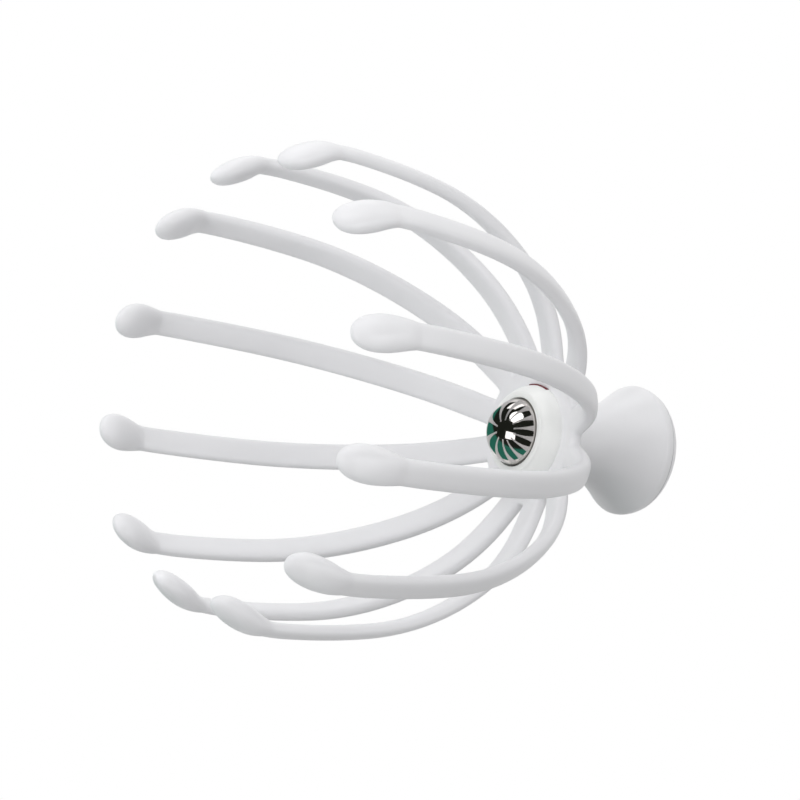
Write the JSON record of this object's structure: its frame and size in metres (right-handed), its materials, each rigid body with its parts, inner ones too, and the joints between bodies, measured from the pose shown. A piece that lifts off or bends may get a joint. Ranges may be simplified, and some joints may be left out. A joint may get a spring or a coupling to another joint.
{
  "type": "electric scalp massager",
  "caption": "Handheld vibrating scalp massager: a bowl of long springy claws with rounded pads round a pod with a chrome dome, and a mushroom knob with a power button.",
  "frame": {"origin": "on the axis of hub and knob, level with the lowest claw tip", "axes": "+Z from the claw tips to the knob; -X through the charging inlet; the indicator window is near -Y"},
  "size_m": [0.1461, 0.1438, 0.1685],
  "materials": {
    "claw_plastic": "satin, flexible",
    "hub_plastic": "satin",
    "knob_plastic": "satin",
    "pod_plastic": "glossy",
    "chrome": "polished plating",
    "lens_red": "clear tinted, unlit",
    "led_body": "clear",
    "switch_black": "moulded",
    "inner_plastic": "moulded",
    "spring_steel": "drawn wire",
    "screw_steel": "zinc plated",
    "can_steel": "drawn can",
    "weight_metal": "sintered",
    "rubber_grey": "moulded",
    "lead_cover": "extruded cover",
    "cell_metal": "nickel plated",
    "board_green": "solder mask",
    "socket_metal": "nickel plated",
    "seal_grey": "moulded"
  },
  "bodies": {
    "handle": {"hub": "hub_plastic", "pod_shell": "pod_plastic", "contact_switch": "switch_black", "dome_spring": "spring_steel", "switch_plate": "inner_plastic", "plate_screws": "screw_steel", "indicator_lens": "lens_red", "indicator_led": "led_body", "motor_can": "can_steel", "motor_end_bell": "switch_black", "motor_sleeve": "rubber_grey", "motor_leads": "lead_cover", "knob_shell": "knob_plastic", "neck_nut": "inner_plastic", "battery_pad": "rubber_grey", "battery_cell": "cell_metal", "circuit_board": "board_green", "board_screws": "screw_steel", "charge_socket": "socket_metal", "power_switch": "switch_black", "button_pad": "rubber_grey", "knob_seal": "seal_grey", "knob_cap": "knob_plastic"},
    "dome": {"contact_dome": "chrome", "contact_plunger": "switch_black"},
    "power": {"power_button": "knob_plastic", "power_plunger": "switch_black"},
    "rotor": {"motor_shaft": "spring_steel", "eccentric_weight": "weight_metal"},
    "claw_01": {"claw_01": "claw_plastic"},
    "claw_02": {"claw_02": "claw_plastic"},
    "claw_03": {"claw_03": "claw_plastic"},
    "claw_04": {"claw_04": "claw_plastic"},
    "claw_05": {"claw_05": "claw_plastic"},
    "claw_06": {"claw_06": "claw_plastic"},
    "claw_07": {"claw_07": "claw_plastic"},
    "claw_08": {"claw_08": "claw_plastic"},
    "claw_09": {"claw_09": "claw_plastic"},
    "claw_10": {"claw_10": "claw_plastic"},
    "claw_11": {"claw_11": "claw_plastic"},
    "claw_12": {"claw_12": "claw_plastic"}
  },
  "joints": [
    {"name": "dome_press", "type": "slide", "parent": "handle", "child": "dome", "axis": [0, 0, 1], "range_m": [0, 0.0012], "stiffness_N_per_m": 600, "deforming": ["dome_spring"]},
    {"name": "power_press", "type": "slide", "parent": "handle", "child": "power", "axis": [0, 0, -1], "range_m": [0, 0.0005], "stiffness_N_per_m": 400, "deforming": ["button_pad"]},
    {"name": "rotor_spin", "type": "hinge", "parent": "handle", "child": "rotor", "pos_m": [0, 0, 0.122], "axis": [0, 0, 1], "continuous": true},
    {"name": "claw_01_flex", "type": "hinge", "parent": "handle", "child": "claw_01", "pos_m": [0.01954, 0.00513, 0.12], "axis": [0.2538, -0.9673, 0], "range_deg": [-4, 10], "stiffness_Nm_per_rad": 1.5},
    {"name": "claw_02_flex", "type": "hinge", "parent": "handle", "child": "claw_02", "pos_m": [0.01451, 0.01406, 0.12], "axis": [0.6959, -0.7181, 0], "range_deg": [-4, 10], "stiffness_Nm_per_rad": 1.5},
    {"name": "claw_03_flex", "type": "hinge", "parent": "handle", "child": "claw_03", "pos_m": [0.00533, 0.01948, 0.12], "axis": [0.9646, -0.2639, 0], "range_deg": [-4, 10], "stiffness_Nm_per_rad": 1.5},
    {"name": "claw_04_flex", "type": "hinge", "parent": "handle", "child": "claw_04", "pos_m": [-0.00482, 0.01962, 0.12], "axis": [0.9711, 0.2385, 0], "range_deg": [-4, 10], "stiffness_Nm_per_rad": 1.5},
    {"name": "claw_05_flex", "type": "hinge", "parent": "handle", "child": "claw_05", "pos_m": [-0.01428, 0.01428, 0.12], "axis": [0.7071, 0.7071, 0], "range_deg": [-4, 10], "stiffness_Nm_per_rad": 1.5},
    {"name": "claw_06_flex", "type": "hinge", "parent": "handle", "child": "claw_06", "pos_m": [-0.01951, 0.00523, 0.12], "axis": [0.2588, 0.9659, 0], "range_deg": [-4, 10], "stiffness_Nm_per_rad": 1.5},
    {"name": "claw_07_flex", "type": "hinge", "parent": "handle", "child": "claw_07", "pos_m": [-0.01951, -0.00523, 0.12], "axis": [-0.2588, 0.9659, 0], "range_deg": [-4, 10], "stiffness_Nm_per_rad": 1.5},
    {"name": "claw_08_flex", "type": "hinge", "parent": "handle", "child": "claw_08", "pos_m": [-0.01423, -0.01433, 0.12], "axis": [-0.7096, 0.7046, 0], "range_deg": [-4, 10], "stiffness_Nm_per_rad": 1.5},
    {"name": "claw_09_flex", "type": "hinge", "parent": "handle", "child": "claw_09", "pos_m": [-0.00513, -0.01954, 0.12], "axis": [-0.9673, 0.2538, 0], "range_deg": [-4, 10], "stiffness_Nm_per_rad": 1.5},
    {"name": "claw_10_flex", "type": "hinge", "parent": "handle", "child": "claw_10", "pos_m": [0.00516, -0.01953, 0.12], "axis": [-0.9668, -0.2554, 0], "range_deg": [-4, 10], "stiffness_Nm_per_rad": 1.5},
    {"name": "claw_11_flex", "type": "hinge", "parent": "handle", "child": "claw_11", "pos_m": [0.01443, -0.01413, 0.12], "axis": [-0.6997, -0.7145, 0], "range_deg": [-4, 10], "stiffness_Nm_per_rad": 1.5},
    {"name": "claw_12_flex", "type": "hinge", "parent": "handle", "child": "claw_12", "pos_m": [0.01957, -0.00502, 0.12], "axis": [-0.2487, -0.9686, 0], "range_deg": [-4, 10], "stiffness_Nm_per_rad": 1.5}
  ]
}
